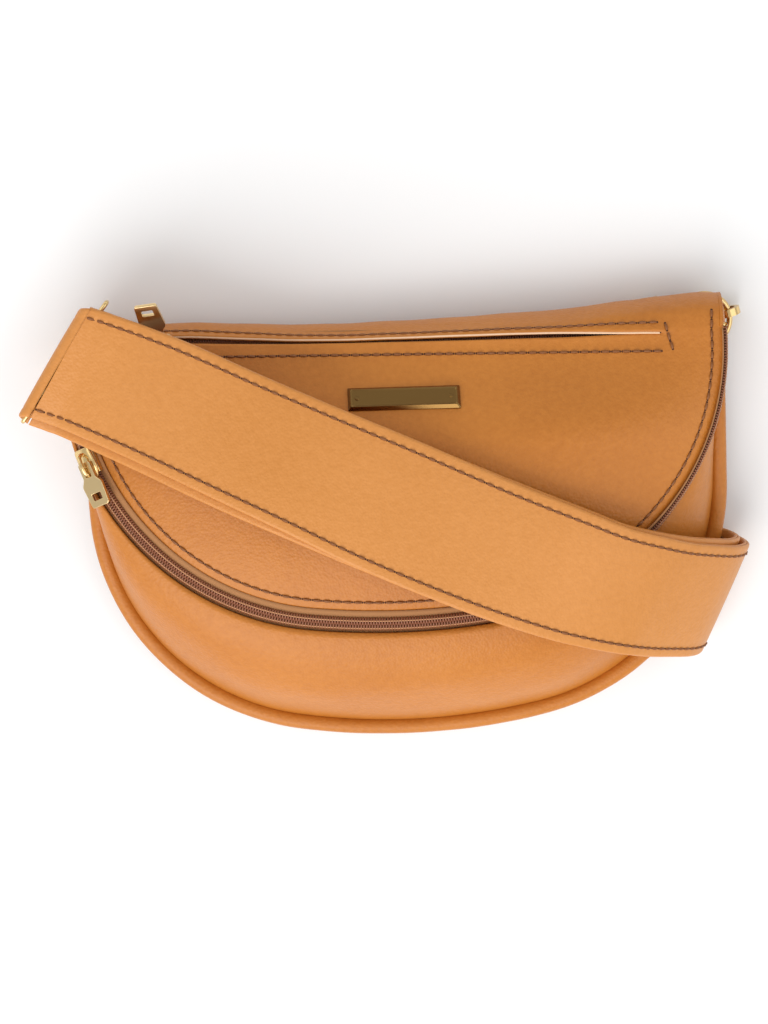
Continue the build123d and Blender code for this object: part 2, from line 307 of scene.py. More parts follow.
def principled(name, color, rough, metal=0.0, **more):
    mat = bpy.data.materials.new(name)
    mat.use_nodes = True
    bsdf = mat.node_tree.nodes["Principled BSDF"]
    bsdf.inputs["Base Color"].default_value = (*color, 1)
    bsdf.inputs["Roughness"].default_value = rough
    bsdf.inputs["Metallic"].default_value = metal
    for key, value in more.items():
        bsdf.inputs[key.replace("_", " ")].default_value = value
    return mat, bsdf


def leather(name, low, high, bump=0.35):
    """Fine pebbled leather: cell pattern with pores, colour drifting slowly."""
    mat, bsdf = principled(name, low, LEATHER_ROUGHNESS)
    tree = mat.node_tree
    nodes, link = tree.nodes, tree.links.new
    coords = nodes.new("ShaderNodeTexCoord")
    cells = nodes.new("ShaderNodeTexVoronoi")
    cells.inputs["Scale"].default_value = PEBBLE_SCALE
    fine = nodes.new("ShaderNodeTexNoise")
    fine.inputs["Scale"].default_value = GRAIN_SCALE
    fine.inputs["Detail"].default_value = 6
    slow = nodes.new("ShaderNodeTexNoise")
    slow.inputs["Scale"].default_value = 14
    slow.inputs["Detail"].default_value = 4
    for node in (cells, fine, slow):
        link(coords.outputs["Object"], node.inputs["Vector"])
    total = nodes.new("ShaderNodeMath")
    total.operation = "MULTIPLY_ADD"
    total.inputs[1].default_value = 0.8
    link(cells.outputs["Distance"], total.inputs[0])
    link(fine.outputs["Fac"], total.inputs[2])
    ramp = nodes.new("ShaderNodeValToRGB")
    ramp.color_ramp.elements[0].position = 0.3
    ramp.color_ramp.elements[1].position = 0.75
    ramp.color_ramp.elements[0].color = (*low, 1)
    ramp.color_ramp.elements[1].color = (*high, 1)
    drift = nodes.new("ShaderNodeMath")
    drift.operation = "MULTIPLY_ADD"
    drift.inputs[1].default_value = 0.45
    link(fine.outputs["Fac"], drift.inputs[0])
    half = nodes.new("ShaderNodeMath")
    half.operation = "MULTIPLY"
    half.inputs[1].default_value = 0.55
    link(slow.outputs["Fac"], half.inputs[0])
    link(half.outputs[0], drift.inputs[2])
    link(drift.outputs[0], ramp.inputs["Fac"])
    link(ramp.outputs["Color"], bsdf.inputs["Base Color"])
    bsdf.inputs["Specular IOR Level"].default_value = 0.4
    relief = nodes.new("ShaderNodeBump")
    relief.inputs["Strength"].default_value = bump
    relief.inputs["Distance"].default_value = 0.0004
    link(total.outputs[0], relief.inputs["Height"])
    link(relief.outputs["Normal"], bsdf.inputs["Normal"])
    return mat


def cloth(name, color, scale=1500.0):
    """Woven tape or lining: fine wavy bands as relief."""
    mat, bsdf = principled(name, color, 0.85)
    tree = mat.node_tree
    coords = tree.nodes.new("ShaderNodeTexCoord")
    weave = tree.nodes.new("ShaderNodeTexWave")
    weave.inputs["Scale"].default_value = scale
    weave.inputs["Distortion"].default_value = 1.0
    relief = tree.nodes.new("ShaderNodeBump")
    relief.inputs["Strength"].default_value = 0.4
    relief.inputs["Distance"].default_value = 0.0002
    tree.links.new(coords.outputs["Object"], weave.inputs["Vector"])
    tree.links.new(weave.outputs["Fac"], relief.inputs["Height"])
    tree.links.new(relief.outputs["Normal"], bsdf.inputs["Normal"])
    return mat


BODY = leather("body_leather", (0.47, 0.152, 0.016), (0.59, 0.212, 0.03))
STRAP = leather("strap_leather", (0.58, 0.222, 0.042), (0.68, 0.28, 0.07))
EDGE = leather("leather_edge", (0.78, 0.5, 0.3), (0.86, 0.6, 0.4), bump=0.2)
GOLD = principled("gold", (0.8, 0.57, 0.26), 0.18, 1.0)[0]
GOLD_SATIN = principled("gold_satin", (0.78, 0.58, 0.3), 0.28, 1.0)[0]
PLATE_METAL = principled("plate_bronze", (0.24, 0.135, 0.042), 0.26, 1.0)[0]
THREAD = principled("thread", (0.24, 0.08, 0.016), 0.5)[0]
# Painted shade: near-black colour standing in for the shadow inside each needle hole.
HOLE_SHADE = principled("needle_hole_shade", (0.07, 0.02, 0.006), 0.9)[0]
COIL = principled("zip_coil", (0.24, 0.075, 0.028), 0.4)[0]
CORE = principled("zip_thread", (0.6, 0.3, 0.13), 0.7)[0]
TAPE = cloth("zip_tape", (0.42, 0.19, 0.07))
LINING = cloth("lining", (0.3, 0.17, 0.08), 900)
BOARD = principled("board", (0.35, 0.3, 0.25), 0.9)[0]


# ---- surfaces --------------------------------------------------------------------------
EDGE_IN = 4.0
PANEL = grown(ZIP, -EDGE_IN)
DOME = 13.5
ROLL_LENGTH = 27.0


def dome(x, y):
    """Height of the front above the zip plane, with the plane's own x and y."""
    inside = max(0.0, d_inside(PANEL, x, y))
    rise = math.sin(min(1.0, inside / 62.0) * math.pi / 2) ** 0.8
    top = smooth((FLAT_TOP_Y - y) / 42.0)
    swell = 0.9 * wave(x, y, 1.3) * min(1.0, inside / 25.0) * top
    return 1.6 + (DOME * rise - 0.4) * top + swell * 0.7


SAG = [(-90, 0.0), (-16, 4.2), (60, 3.2), (90, 1.0), (102, 0.0), (122, -0.6)]


def roll_point(x, t):
    """Point on the top edge: t 0 at the front plane, 1 at the back."""
    y0 = from_zip(0, FLAT_TOP_Y, 1.6)
    wob = 0.5 * wave(x * 2.0, 30, 2.2)
    line = [(y0.y, y0.z), (70.4, y0.z - 1.6), (74.2, y0.z - 4.4)]
    line += [(76.6, 23.2), (77.6, 17.5), (77.0, 12.6), (75.0, BACK_Z - 0.2)]
    f = t * (len(line) - 1)
    k = min(int(f), len(line) - 2)
    pts = [line[max(k - 1, 0)], line[k], line[k + 1], line[min(k + 2, len(line) - 1)]]
    w = f - k
    out = []
    for c in (0, 1):
        p0, p1, p2, p3 = (p[c] for p in pts)
        out.append(catmull(p0, p1, p2, p3, w))
    sag = table(SAG, x) * smooth(t / 0.45)
    end = 1.0 - 0.03 * smooth((abs(x) - 118) / 9.0)
    return Vector((x * (1 + 0.02 * t), mix(60, out[0] + wob * t - sag, end), out[1]))


def over_top(x, s):
    """Front surface by distance along its profile: s 0 where the flat front ends, up over the top."""
    if s >= 0:
        return roll_point(x, min(1.0, s / ROLL_LENGTH))
    return from_zip(x, FLAT_TOP_Y + s, dome(x, FLAT_TOP_Y + s))


def slit_at(x):
    """Where the slit lies on the profile; it drops a little toward the bag's right."""
    return mix(8.2, -0.6, (x + 103.0) / 206.0)


def slit_gap(x):
    """Half opening of the slit; it closes to a point at the bag's right."""
    return mix(0.2, 1.5, smooth((SLIT_HALF - x) / 48.0))


def lip_lift(x, s):
    """Raised turned edges either side of the slit."""
    d = s - slit_at(x)
    ends = smooth((SLIT_HALF + 6 - abs(x)) / 9.0)
    if d >= 0:
        return ends * 0.9 * smooth(1 - (d - 1.2) / 4.0)
    return ends * 0.25 * smooth(1 + (d + 1.2) / 3.0)


def front_panel():
    """Domed front that rolls over the top edge; the slit is left open between its lips."""
    cols = [126.9 * math.sin(math.pi / 2 * i / 90.0) for i in range(-90, 91)]
    rows = []
    for x in cols:
        low = d_low(PANEL, x)
        slit = slit_at(max(-SLIT_HALF, min(SLIT_HALF, x)))
        half = slit_gap(x)
        steps = [mix(ROLL_LENGTH, slit + half, i / 17.0) for i in range(18)]
        steps += [slit - half - i * 0.9 for i in range(3)]
        last = FLAT_TOP_Y + steps[-1]
        steps += [mix(last, low, (i / 54) ** 1.05) - FLAT_TOP_Y for i in range(1, 55)]
        row = []
        for s in steps:
            p = over_top(x, s)
            row.append(p + Vector((0, 0.45, 0.9)) * lip_lift(x, s))
        rows.append(row)
    gap = 17
    shape = Shape()
    open_at = [abs(a) < SLIT_HALF and abs(b) < SLIT_HALF for a, b in zip(cols, cols[1:])]
    shape.grid(rows, skip=lambda i, j: j == gap and open_at[i])
    obj = thick(shape.object("front_leather", BODY), 1.5)
    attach(obj, "bag")
    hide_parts("front_panel")
    lip = Shape()
    line = []
    for i in range(120):
        x = mix(-SLIT_HALF + 1, SLIT_HALF - 1, i / 119.0)
        s = slit_at(x) + slit_gap(x)
        line.append(over_top(x, s) + Vector((0, 0.45, 0.9)) * (lip_lift(x, s) - 0.45) + Vector((0, -0.25, 0)))
    lip.tube(line, 0.5, 8)
    obj = lip.object("slit_cut_edge", EDGE)
    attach(obj, "bag")


def stitches(name, line, pitch=4.1, size=3.0, width=0.62, lift=0.16, body="bag"):
    """Row of thread stitches along a line of (point, surface normal), with a near-black patch of painted
    shade at each needle hole.
    """
    points = [p for p, n in line]
    total = length_of(points)
    count = int(total / pitch)
    shape = Shape()
    holes = []
    k = 0
    done = 0.0
    for i in range(count):
        want = pitch * (i + 0.5)
        while k < len(points) - 2 and done + (points[k + 1] - points[k]).length < want:
            done += (points[k + 1] - points[k]).length
            k += 1
        seg = points[k + 1] - points[k]
        if seg.length < 1e-6:
            continue
        p = points[k] + seg.normalized() * (want - done)
        n = line[k][1].normalized()
        d = seg.normalized()
        side = d.cross(n).normalized()
        mid = p + n * lift
        ends = [(-1.0, -0.35, 0.5), (-0.7, 0.05, 0.9), (0.0, 0.16, 1.0), (0.7, 0.05, 0.9), (1.0, -0.35, 0.5)]
        rows = []
        for a, h, w in ends:
            c = mid + d * (a * size / 2) + n * (h * 1.0)
            wide, tall = width * w, width * w * 0.8
            angles = (0, 1.26, 2.51, 3.77, 5.03)
            rows.append([c + side * (wide * math.cos(q)) + n * (tall * math.sin(q)) for q in angles])
        start = len(shape.verts)
        shape.grid(rows, close_v=True)
        shape.faces.append(tuple(range(start, start + 5)))
        shape.faces.append(tuple(range(start + 24, start + 19, -1)))
        # Flat near-black patch at each stitch end: painted shade for the dark inside of the needle hole.
        for a in (-1, 1):
            c = mid + d * (a * (size / 2 + 0.12)) - n * (lift - 0.1)
            angles = (0, 1.05, 2.1, 3.14, 4.19, 5.24)
            hole_shade_patch = [c + d * (0.42 * math.cos(q)) + side * (0.5 * math.sin(q)) for q in angles]
            holes.append(len(shape.faces))
            shape.faces.append(tuple(range(len(shape.verts), len(shape.verts) + 6)))
            shape.verts.extend(hole_shade_patch)
    obj = shape.object(name, THREAD)
    obj.data.materials.append(HOLE_SHADE)
    for index in holes:
        obj.data.polygons[index].material_index = 1
    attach(obj, body)
    return obj


def surface_line(outline, inset, top, height, step=2.0):
    """Line on the front at an inset from its edge, with normals."""
    out = []
    for (x, y), n in d_line(grown(outline, -inset), top, step):
        h = height(x, y)
        dx = height(x + 0.5, y) - h
        dy = height(x, y + 0.5) - h
        local = Vector((-dx / 0.5, -dy / 0.5, 1)).normalized()
        a = from_zip(local.x, local.y + 70, local.z) - from_zip(0, 70, 0)
        out.append((from_zip(x, y, h), a))
    return out


SEAM_INSET = 4.6


def front_stitches():
    edge = surface_line(PANEL, SEAM_INSET, FLAT_TOP_Y, dome)
    side = PANEL["half"] - SEAM_INSET
    for k in range(1, 9):
        edge.insert(0, (over_top(-side, k * 1.0), Vector((0, 0.3 + 0.06 * k, 1))))
        edge.append((over_top(side, k * 1.0), Vector((0, 0.3 + 0.06 * k, 1))))
    stitches("front_edge_stitches", edge)
    low, high = [], []
    for i in range(81):
        x = mix(-106.0, 105.5, i / 80.0)
        low.append((over_top(x, slit_at(x) - 7.2), Vector((0, 0.3, 1))))
        s = slit_at(x) + 4.4
        high.append((over_top(x, s) + Vector((0, 0.45, 0.9)) * lip_lift(x, s), Vector((0, 0.6, 0.8))))
    stitches("pocket_lower_stitches", low)
    stitches("pocket_upper_stitches", high)
    for side in (-1, 1):
        end = []
        for k in range(13):
            x = side * 105.5 + mix(-1.5, 1.5, k / 12.0)
            s = slit_at(side * 105.5) + mix(4.4, -7.2, k / 12.0)
            end.append((over_top(x, s) + Vector((0, 0.45, 0.9)) * lip_lift(x, s), Vector((0, 0.5, 0.85))))
        stitches("pocket_end_stitches_" + ("left" if side < 0 else "right"), end, pitch=3.85)


LINING_CENTRE_Y = 30.0


def lining_step(row, k):
    """Step from the lining out to the gusset, away from the middle of the bag."""
    middle = row[len(row) // 2]
    out = Vector((middle.x, middle.y - LINING_CENTRE_Y, 0)).normalized()
    return out * 2.0 + Vector((0, 0, 1.2 if k < 20 else -0.6))


def gusset():
    """Leather between the zip and the piping, slack and a little creased."""
    count = 220
    foot = [p for p, n in d_line(grown(PIPE, -3.2), 71.0)]
    rim = [zip_spot(x, y, n, 3.9, 0.5 - 2.4 * smooth(n[0] * 1.15)) for (x, y), n in d_line(ZIP, 71.0)]
    rim = resample(rim, count)
    foot = resample([Vector((x, y, 12.6)) for x, y in foot], count)
    rows = []
    for i in range(count):
        row = []
        for k in range(25):
            t = k / 24.0
            p = rim[i].lerp(foot[i], t)
            p.z = mix(rim[i].z, foot[i].z, t ** (1.45 if foot[i].y < 20 else 1.15))
            wide = (rim[i] - foot[i]).length
            out = (foot[i] - rim[i])
            normal = Vector((out.x, out.y, 0)).normalized() + Vector((0, 0, 1))
            fullness = 0.07 if p.x < 60 else mix(0.07, 0.03, smooth((p.x - 60) / 50.0))
            belly = math.sin(math.pi * t) * wide * fullness
            crease = 0.55 * math.sin(math.pi * t) * wave(p.x * 1.6, p.z * 2.5 + p.y * 0.7, 4.0)
            row.append(p + normal.normalized() * (belly + crease))
        rows.append(row)
    inside = Shape()
    lined = [[p - lining_step(row, k) for k, p in enumerate(row)] for row in rows[8:-8]]
    inside.grid(lined)
    cloth_obj = thick(inside.object("lining_cloth", LINING), 0.5, -1.0)
    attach(cloth_obj, "bag")
    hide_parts("lining")
    drops = [length_of(row) for row in lined]
    run = length_of([row[12] for row in lined])
    pairs = zip(drops, drops[1:], lined, lined[1:])
    area = sum((a + b) / 2 * (q[12] - p[12]).length for a, b, p, q in pairs) * MM * MM
    for side in (-1, 1):
        edge = rows[0] if side < 0 else rows[-1]
        for i in range(1, 7):
            f = i / 6.0
            roll = [roll_point(side * 125.4, mix(0.05, 0.97, k / 24.0)) for k in range(len(edge))]
            corner = [p.lerp(q, f) for p, q in zip(edge, roll)]
            corner = [p + Vector((side * 1.2 * math.sin(math.pi * f), 0, 0)) for p in corner]
            if side < 0:
                rows.insert(0, corner)
            else:
                rows.append(corner)
    shape = Shape()
    shape.grid(rows)
    obj = thick(shape.object("lower_leather", BODY), 1.4, 1.0)
    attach(obj, "bag")
    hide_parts("gusset_panel")


def back_leather():
    """Back panel, its top edge dipping with the rolled top."""
    count = 80
    rows = []
    for i in range(count + 1):
        x = BACK["half"] * math.sin(math.pi / 2 * (2 * i / count - 1))
        low = d_low(BACK, x)
        top = BACK_TOP_Y - table(SAG, x)
        heights = [BACK_Z + 0.1 + 0.25 * wave(x, low + k, 3.0) for k in range(41)]
        rows.append([Vector((x, mix(low, top, k / 40.0), z)) for k, z in enumerate(heights)])
    shape = Shape()
    shape.grid(rows)
    obj = thick(shape.object("back_leather", BODY), 1.6, 1.0)
    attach(obj, "bag")
    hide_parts("back_panel")


def piping():
    """Covered cord round the back's curved edge."""
    line = [Vector((x, y, 13.6)) for (x, y), n in d_line(PIPE, 64.0, 2.5)]
    line = [p + Vector((0, 0, 0.35 * wave(p.x * 2, p.y * 2, 5.0))) for p in line]
    shape = Shape()
    shape.tube(line, 3.55, 16)
    obj = shape.object("piping_leather", BODY)
    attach(obj, "bag")
    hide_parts("piping_cover")


# ---- zips ------------------------------------------------------------------------------
def zip_frame_at(x, y, n):
    """Centre of the zip with its outward and facing directions; it leans outward, most at the right."""
    right = smooth(n[0] * 1.15)
    lean = math.radians(34.0 + 46.0 * right - 8.0 * smooth(-n[1] * 1.2 - 0.2) * (1 - right))
    c = Vector((x - n[0] * 3.2 * right, y - n[1] * 3.2 * right, -1.8 * right))
    o = Vector((n[0] * math.cos(lean), n[1] * math.cos(lean), -math.sin(lean)))
    u = Vector((n[0] * math.sin(lean), n[1] * math.sin(lean), math.cos(lean)))
    return c, o, u


def zip_spot(x, y, n, out, up, along=0.0):
    """Point beside the zip's centre line in the bag's frame."""
    c, o, u = zip_frame_at(x, y, n)
    q = c + o * out + u * up + Vector((-n[1], n[0], 0)) * along
    return from_zip(q.x, q.y, q.z)


ZIP_END = FLAT_TOP_Y


def main_zip():
    """Two tapes and two rows of coil, leaning outward along the arc."""
    path = d_line(ZIP, ZIP_END, 1.5)
    for name, a0, a1 in (("outer", 0.25, 4.8), ("inner", -5.6, -0.25)):
        rows = [[zip_spot(x, y, n, mix(a0, a1, k / 4.0), -0.35) for k in range(5)] for (x, y), n in path]
        shape = Shape()
        shape.grid(rows)
        obj = thick(shape.object("zip_tape_" + name, TAPE), 0.5, 0.0)
        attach(obj, "bag")
        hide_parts("main_zip_tape_" + name)
    fine = d_line(ZIP, ZIP_END, 0.55)
    tooth = (
        (2.6, 0.1, 0.2), (2.5, 0.75, 0.1), (1.5, 1.05, 0.0),
        (0.1, 0.95, 0.0), (-0.35, 0.55, 0.0), (-0.1, 0.15, 0.0),
    )
    for side, name in ((1, "outer"), (-1, "inner")):
        shape = Shape()
        for (x, y), n in fine[(side < 0)::2]:
            shape.tube([zip_spot(x, y, n, a * side, h, s) for a, h, s in tooth], 0.42, 5, caps=False)
        obj = shape.object("zip_coil_" + name, COIL)
        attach(obj, "bag")
        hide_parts("main_zip_coil_" + name)
        shape = Shape()
        shape.tube([zip_spot(x, y, n, 1.7 * side, 1.05) for (x, y), n in path], 0.3, 5)
        obj = shape.object("zip_sewing_" + name, CORE)
        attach(obj, "bag")
    shape = Shape()
    for (x, y), n in (path[0], path[-1]):
        along = 1.4 if n[0] < 0 else -1.4
        for out in (-2.2, 2.2):
            shape.tube([zip_spot(x, y, n, out, h, -along) for h in (0.0, 0.5, 1.0)], 0.9, 8)
        shape.tube([zip_spot(x, y, n, out, 0.9, -along) for out in (-2.9, -1, 1, 2.9)], 0.7, 8)
    obj = shape.object("zip_end_stops", GOLD)
    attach(obj, "bag")
    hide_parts("main_zip_stops")


SLIT_ORIGIN = Vector((0, 69.9, 30.1))
SLIT_OUT = Vector((0, 0.45, 0.893)).normalized()
SLIT_X = Vector((1, -0.03, 0.0151))
SLIT_ALONG = (SLIT_X - SLIT_OUT * SLIT_X.dot(SLIT_OUT)).normalized()
SLIT_ACROSS = SLIT_OUT.cross(SLIT_ALONG)


def slit_place(x, y, z):
    """Along, across and out of the pocket slit to the bag's frame."""
    return SLIT_ORIGIN + SLIT_ALONG * x + SLIT_ACROSS * y + SLIT_OUT * z


def pocket_zip():
    """Small coil zip inside the slit."""
    turn = ((2.2, -3.2), (2.0, -2.7), (1.1, -2.4), (0.1, -2.5), (-0.25, -2.9))
    for side, name in ((1, "upper"), (-1, "lower")):
        tape, node = "pocket_zip_tape_" + name, "pocket_zip_coil_" + name
        shape = Shape()
        x = -SLIT_HALF + (0.0 if side > 0 else 0.5)
        while x < SLIT_HALF:
            shape.tube([slit_place(x, a * side, h) for a, h in turn], 0.34, 5, caps=False)
            x += 1.0
        obj = shape.object(node + "_teeth", COIL)
        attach(obj, "bag")
        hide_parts(node)
        strip = Shape()
        across = [mix(0.2, 4.0, k / 3.0) * side for k in range(4)]
        strip.grid([[slit_place(mix(-101, 101, i / 40.0), y, -4.0) for y in across] for i in range(41)])
        obj = thick(strip.object(tape + "_cloth", TAPE), 0.4, 0.0)
        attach(obj, "bag")
        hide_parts(tape)


def arc_place(deg):
    """Place on the left corner arc: X outward, Y forward along the arc, leaning with the zip."""
    dx, side, lean = d_parts(ZIP)
    a = math.radians(deg)
    n = (math.cos(a), math.sin(a))
    x, y = -dx + ZIP["corner"] * n[0], side + ZIP["corner"] * n[1]
    return lambda out, along, up: zip_spot(x, y, n, out, up, along)


def pull(name, place, reach, body, node):
    """Flat cast pull with a slot for the bail and a window near its far end."""
    low_side = [(-0.8, -2.9), (5.6, -2.9), (8.0, -4.9), (reach, -4.2)]
    outer = rounded(low_side + [(x, -y) for x, y in reversed(low_side)], 0.9)
    window = [(reach - 5.4, -2.6), (reach - 2.2, -2.5), (reach - 2.2, 2.5), (reach - 5.4, 2.6)]
    holes = [rounded([(0.7, -1.7), (5.2, -1.7), (5.2, 1.7), (0.7, 1.7)], 0.5), rounded(window, 0.6)]
    curve = bpy.data.curves.new(name, "CURVE")
    curve.dimensions = "2D"
    curve.fill_mode = "BOTH"
    curve.extrude = 0.0005
    curve.bevel_depth = 0.00022
    curve.bevel_resolution = 2
    for ring in [outer] + holes:
        spline = curve.splines.new("POLY")
        spline.points.add(len(ring) - 1)
        for q, (x, y) in zip(spline.points, ring):
            q.co = (x * MM, y * MM, 0, 1)
        spline.use_cyclic_u = True
    temp = bpy.data.objects.new(name, curve)
    bpy.context.scene.collection.objects.link(temp)
    deps = bpy.context.evaluated_depsgraph_get()
    mesh = bpy.data.meshes.new_from_object(temp.evaluated_get(deps))
    bpy.data.objects.remove(temp)
    for v in mesh.vertices:
        v.co = place(v.co.x / MM, v.co.y / MM, v.co.z / MM) * MM
    mesh.materials.clear()
    mesh.materials.append(GOLD_SATIN)
    obj = bpy.data.objects.new(name, mesh)
    bpy.context.scene.collection.objects.link(obj)
    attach(obj, body)
    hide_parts(node)
    return obj


def sliders():
    place = arc_place(SLIDER_DEG)
    shape = Shape()
    body = rounded([(-4.0, -6.5), (4.0, -6.5), (4.4, 2.0), (2.6, 6.5), (-2.6, 6.5), (-4.4, 2.0)], 1.6)
    shape.plate(body, 1.6, 3.0, place, bevel=0.4)
    for x0, x1 in ((3.3, 4.3), (-4.3, -3.3)):
        flange = rounded([(x0, -5.5), (x1, -5.5), (x1, 4.5), (x0, 4.5)], 0.3)
        shape.plate(flange, -0.2, 2.0, place, bevel=0.1)
    arch = ((-4.2, 2.6), (-4.2, 4.6), (-3.2, 5.8), (0, 6.2), (3.2, 5.8), (4.2, 4.6), (4.2, 2.6))
    shape.tube([place(0, y, z) for y, z in arch], 0.85, 8)
    obj = shape.object("slider_body", GOLD)
    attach(obj, "main_slider")
    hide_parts("main_zip_slider")
    pull("slider_pull", lambda x, y, z: place(-y, x, z + 4.15), 17.0, "main_pull", "main_zip_pull")

    shape = Shape()

    def at(x, y, z):
        return slit_place(POCKET_SLIDER_X + x, y, z)

    shape.plate(rounded([(-4.5, -3.2), (4.5, -2.7), (4.5, 2.7), (-4.5, 3.2)], 1.0), 0.9, 1.8, at, bevel=0.3)
    shape.plate(rounded([(-4.3, -1.7), (4.3, -1.7), (4.3, 1.7), (-4.3, 1.7)], 0.5), -2.6, 1.1, at, bevel=0.2)
    arch = ((-2.7, 1.6), (-2.7, 3.6), (-1.8, 4.6), (0, 4.9), (1.8, 4.6), (2.7, 3.6), (2.7, 1.6))
    shape.tube([at(0, y, z) for y, z in arch], 0.6, 8)
    obj = shape.object("pocket_slider_body", GOLD)
    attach(obj, "pocket_slider")
    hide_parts("pocket_zip_slider")
    lean = math.radians(PULL_LIFT)
    turn = math.radians(PULL_YAW)

    def hang(x, y, z):
        a, b = x * math.cos(turn) - y * math.sin(turn), x * math.sin(turn) + y * math.cos(turn)
        return at(a, b * math.cos(lean) - z * math.sin(lean), b * math.sin(lean) + z * math.cos(lean) + 3.05)

    pull("pocket_slider_pull", hang, 20.0, "pocket_pull", "pocket_zip_pull")


def name_plate():
    """Blank bevelled plate with a framed border and a pin at each end."""
    h = dome(0, PLATE_Y)
    slope = math.atan2(dome(0, PLATE_Y - 4) - dome(0, PLATE_Y + 4), 8.0)

    def place(x, y, z):
        y = y - PLATE_SKEW * x
        a = y * math.cos(slope) + z * math.sin(slope)
        c = -y * math.sin(slope) + z * math.cos(slope)
        return from_zip(x, PLATE_Y + a, h + c)

    shape = Shape()
    outline = [(-22, -4.9), (22, -4.9), (22, 4.9), (-22, 4.9)]
    rows = []
    for z, inset in ((-0.6, 0.0), (0.5, 0.0), (1.7, 1.1), (1.75, 1.3), (1.45, 1.75), (1.45, 2.0)):
        ring = rounded(shrink(outline, inset), 0.5, 3)
        rows.append([place(x, y, z) for x, y in ring])
    start = len(shape.verts)
    n = len(rows[0])
    shape.grid(rows, close_v=True)
    shape.faces.append(tuple(range(start + 5 * n, start + 6 * n)))
    for side in (-1, 1):
        angles = [k * math.pi / 6 for k in range(12)]
        ring = [(side * 18.4 + 0.9 * math.cos(a), 0.9 * math.sin(a)) for a in angles]
        shape.plate(ring, 1.3, 1.8, place, bevel=0.15)
    obj = shape.object("plate_face", PLATE_METAL, sharp=True)
    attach(obj, "bag")
    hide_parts("name_plate")


# ---- strap -----------------------------------------------------------------------------
PLY = 1.45
STRAP_HALF = 25.0
STRAP_SEAM = 4.1
# Half section of one ply: share of the half width and of the ply's thickness.
PLY_HALF = (
    (1.0, 0.05), (1.0, 0.45), (0.988, 0.8), (0.955, 0.97), (0.86, 1.0),
    (0.83, 0.93), (0.8, 1.0), (0.4, 1.1), (0.0, 1.12),
)
PLY_SECTION = [(-a, h) for a, h in PLY_HALF] + [(a, h) for a, h in reversed(PLY_HALF[:-1])]
PLY_SECTION += [(0.98, 0.02), (-0.98, 0.02)]


def strap_run(name, line, nodes, seams=True):
    """Two stitched plies along a line of (centre, across, outward normal), outside on top.

    The line is the middle between the plies; the edges are rolled and the faces a little domed.
    """
    for side, tag in ((1, "_face"), (-1, "_backing")):
        rows = []
        for c, across, normal in line:
            ring = []
            for a, h in PLY_SECTION:
                ring.append(c + across * (a * STRAP_HALF) + normal * (side * (h * PLY + 0.03)))
            rows.append(ring if side > 0 else ring[::-1])
        shape = Shape()
        start = len(shape.verts)
        shape.grid(rows, close_v=True)
        n = len(rows[0])
        shape.faces.append(tuple(range(start, start + n)))
        last = start + (len(rows) - 1) * n
        shape.faces.append(tuple(range(last + n - 1, last - 1, -1)))
        obj = shape.object(name + tag, STRAP)
        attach(obj, "bag")
        if side > 0:
            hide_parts(*nodes)
        if seams:
            for edge in (-1, 1):
                seam = []
                for c, across, normal in line:
                    middle = c + across * (edge * (STRAP_HALF - STRAP_SEAM))
                    seam.append((middle + normal * (side * (PLY * 0.93)), normal * side))
                stitches(name + tag + "_stitches" + ("_l" if edge < 0 else "_r"), seam)


def spline(points, count):
    """Catmull-Rom through short tuples, evenly sampled by parameter."""
    out = []
    n = len(points) - 1
    for i in range(count):
        f = n * i / (count - 1)
        k = min(int(f), n - 1)
        w = f - k
        p = [points[max(k - 1, 0)], points[k], points[k + 1], points[min(k + 2, n)]]
        out.append(tuple(catmull(a, b, c, d, w) for a, b, c, d in zip(*p)))
    return out


def band_line(points, count):
    """Strap line from (along, across, height, lean, skew, half width) points."""
    pts = spline(points, count)
    flat = (from_band(0, 1, 0) - from_band(0, 0, 0)).normalized()
    out = []
    for i, (u, v, z, lean, skew, half) in enumerate(pts):
        a, b = pts[max(i - 1, 0)], pts[min(i + 1, count - 1)]
        d = (from_band(*b[:3]) - from_band(*a[:3])).normalized()
        across = (flat - d * flat.dot(d)).normalized()
        normal = d.cross(across).normalized()
        if out and normal.dot(out[-1][2]) < 0 or not out and normal.z < 0:
            normal = -normal
        side = across * math.cos(lean) + normal * math.sin(lean)
        normal = normal * math.cos(lean) - across * math.sin(lean)
        out.append((from_band(u, v, z), (side + d * skew) * (half / STRAP_HALF), normal))
    return out


# Places by distance along the strap: sideways shift, lean, skew of the end and half width.
SHIFT = [
    (-150, 3.0), (-125, 4.0), (-100, 4.6), (-70, 4.0), (-45, 3.2),
    (-18, 1.6), (20, 0.0), (70, 0.0), (104, 1.2), (118, 2.0),
]
LEAN = [(-150, 0.0), (-110, -0.1), (-40, -0.2), (30, -0.16), (80, -0.06), (118, 0.0)]
SKEW = [(-150, 0.17), (-60, 0.0)]
WIDTH = [
    (-150, 24.6), (-100, 25.4), (-60, 25.6), (-18, 27.2), (45, 26.8), (90, 25.2), (118, 25.0),
]
PEEK = [(-150, -4.2), (-80, -4.0), (25, 0.0), (80, 0.2), (118, 1.6)]
TOP_LINE = [
    (-149.5, 38.4), (-144, 38.3), (-138, 39.2), (-124, 43.2), (-104, 50), (-76, 57), (-45, 61.9),
    (-10, 63.8), (30, 64.2), (62, 62.7), (80, 59.5), (96, 53.4), (108, 45.4), (116.8, 37.8),
]
GAP_LINE = [(-149.5, 4.9), (-140, 4.7), (-124, 3.9), (-104, 3.3), (118, 3.2)]


def over_run(u, z, rise, peek):
    """One point of the strap where it crosses the front."""
    v = table(SHIFT, u) + peek * table(PEEK, u)
    return (u, v, z + rise * table(GAP_LINE, u), table(LEAN, u), table(SKEW, u), table(WIDTH, u))


def under_run(u, v, z, half=STRAP_HALF):
    """One point of the strap beside or beneath the bag."""
    return (u, v, z, 0.0, 0.0, half)


